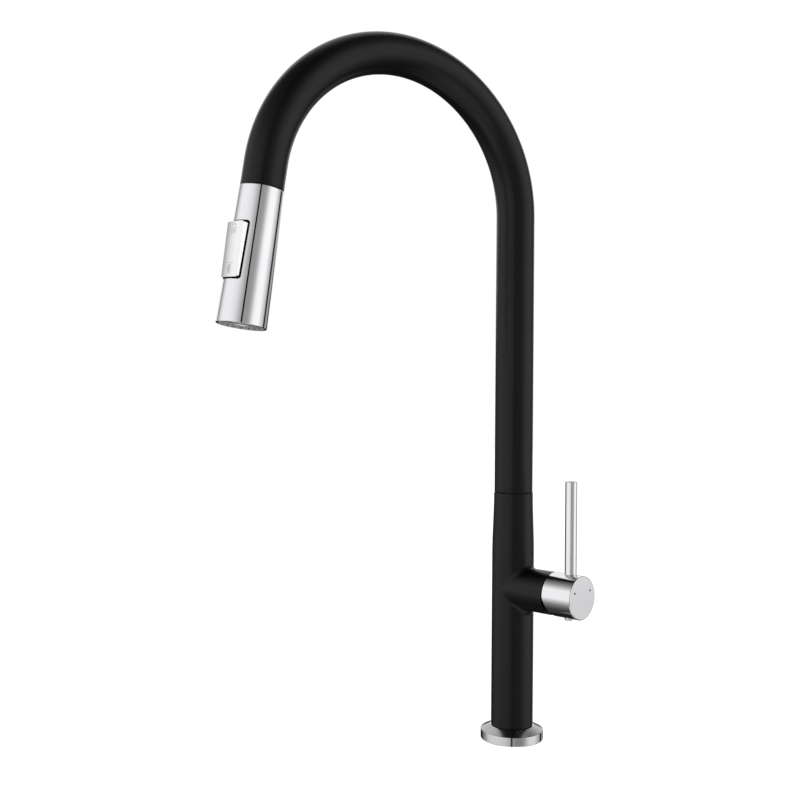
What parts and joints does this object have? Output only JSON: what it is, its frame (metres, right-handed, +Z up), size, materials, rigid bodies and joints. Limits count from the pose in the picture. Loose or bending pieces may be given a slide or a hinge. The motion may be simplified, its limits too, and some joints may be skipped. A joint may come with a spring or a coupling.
{
  "type": "pull down kitchen faucet",
  "caption": "Tall single-hole kitchen faucet with a matte black gooseneck that swivels, a chrome pull-down spray head with a mode rocker, and a chrome side lever.",
  "frame": {"origin": "middle of the flange underside, on the deck surface", "axes": "+Z up along the column, the spout reaches towards -Y, the handle stands out near +X, turned 12.6 degrees towards +Y"},
  "size_m": [0.0937, 0.2842, 0.6441],
  "materials": {
    "matte_black": "matte black powder coat, fine and even",
    "chrome": "polished chrome plate",
    "brass": "turned brass",
    "steel": "plain stainless steel",
    "rubber": "black moulded rubber",
    "white_plastic": "natural white acetal",
    "black_plastic": "black moulded plastic",
    "grey_plastic": "satin grey moulded plastic",
    "silicone": "dark grey silicone",
    "ceramic": null,
    "braid": "hose under a grey nylon braid",
    "red_mark": "red enamel",
    "blue_mark": "blue enamel"
  },
  "bodies": {
    "body": {"base_flange": "chrome", "base_gasket": "rubber", "mounting_shank": "brass", "clamp_gasket": "rubber", "clamp_washer": "steel", "mounting_nut": "brass", "nut_screw_left": "steel", "nut_screw_right": "steel", "body_shell": "matte_black", "swivel_spigot": "brass", "glide_ring": "white_plastic", "snap_ring": "steel", "lower_o_ring": "rubber", "upper_o_ring": "rubber", "valve_block": "brass", "cartridge_seal": "rubber", "cartridge_base": "white_plastic", "fixed_disc": "ceramic", "cartridge_case": "white_plastic", "cartridge_nut": "brass", "cartridge_cover": "matte_black"},
    "rotor": {"cartridge_rotor": "black_plastic", "pivot_pin": "steel"},
    "disc_stack": {"moving_disc": "ceramic", "disc_carrier": "black_plastic"},
    "handle": {"lever_stem": "steel", "handle_hub": "chrome", "lever_pin": "chrome", "set_screw": "steel", "screw_plug": "chrome", "hot_mark": "red_mark", "cold_mark": "blue_mark"},
    "spout": {"spout_tube": "matte_black", "spout_bush": "brass", "pull_hose": "braid", "hose_tail": "braid", "hose_inlet_fitting": "brass", "docking_sleeve": "black_plastic"},
    "hose_end": {"hose_ferrule": "steel", "swivel_stem": "brass"},
    "spray_head": {"swivel_nut": "black_plastic", "filter_washer": "rubber", "check_valve": "white_plastic", "head_core": "black_plastic", "core_o_ring": "rubber", "head_shell": "chrome", "spray_chamber": "white_plastic", "nozzle_mat": "silicone", "spray_face": "grey_plastic", "aerator_housing": "grey_plastic", "aerator_insert": "white_plastic", "rocker_pin": "steel", "diverter_spring": "steel"},
    "rocker": {"mode_rocker": "chrome"},
    "spool": {"diverter_spool": "white_plastic"}
  },
  "joints": [
    {"name": "spout_swivel", "type": "hinge", "parent": "body", "child": "spout", "pos_m": [0, 0, 0.2], "axis": [0, 0, 1], "continuous": true},
    {"name": "handle_turn", "type": "hinge", "parent": "body", "child": "rotor", "pos_m": [0.03318, 0.00742, 0.1205], "axis": [0.9759, 0.2181, 0], "range_deg": [-45, 45]},
    {"name": "handle_lift", "type": "hinge", "parent": "rotor", "child": "handle", "pos_m": [0.03318, 0.00742, 0.1205], "axis": [-0.2181, 0.9759, 0], "range_deg": [0, 16]},
    {"name": "disc_slide", "type": "slide", "parent": "rotor", "child": "disc_stack", "axis": [0, 0, 1], "range_m": [0, 0.0027]},
    {"name": "head_pull", "type": "slide", "parent": "spout", "child": "hose_end", "axis": [0, -0.1564, -0.9877], "range_m": [0, 0.28], "stiffness_N_per_m": 6, "springref_m": -1, "deforming": ["hose_tail"]},
    {"name": "head_turn", "type": "hinge", "parent": "hose_end", "child": "spray_head", "pos_m": [0, -0.22146, 0.41343], "axis": [0, -0.1564, -0.9877], "continuous": true},
    {"name": "rocker_tilt", "type": "hinge", "parent": "spray_head", "child": "rocker", "pos_m": [0.00177, -0.23687, 0.3693], "axis": [-0.9781, -0.2054, 0.0325], "range_deg": [0, 3.6]},
    {"name": "spool_slide", "type": "slide", "parent": "spray_head", "child": "spool", "axis": [0.2079, -0.9661, 0.153], "range_m": [0, 0.0008], "deforming": ["diverter_spring"]}
  ],
  "couplings": [
    {"joint": "disc_slide", "follows": "handle_lift", "m_per_rad": 0.0095},
    {"joint": "spool_slide", "follows": "rocker_tilt", "m_per_rad": 0.0125}
  ]
}
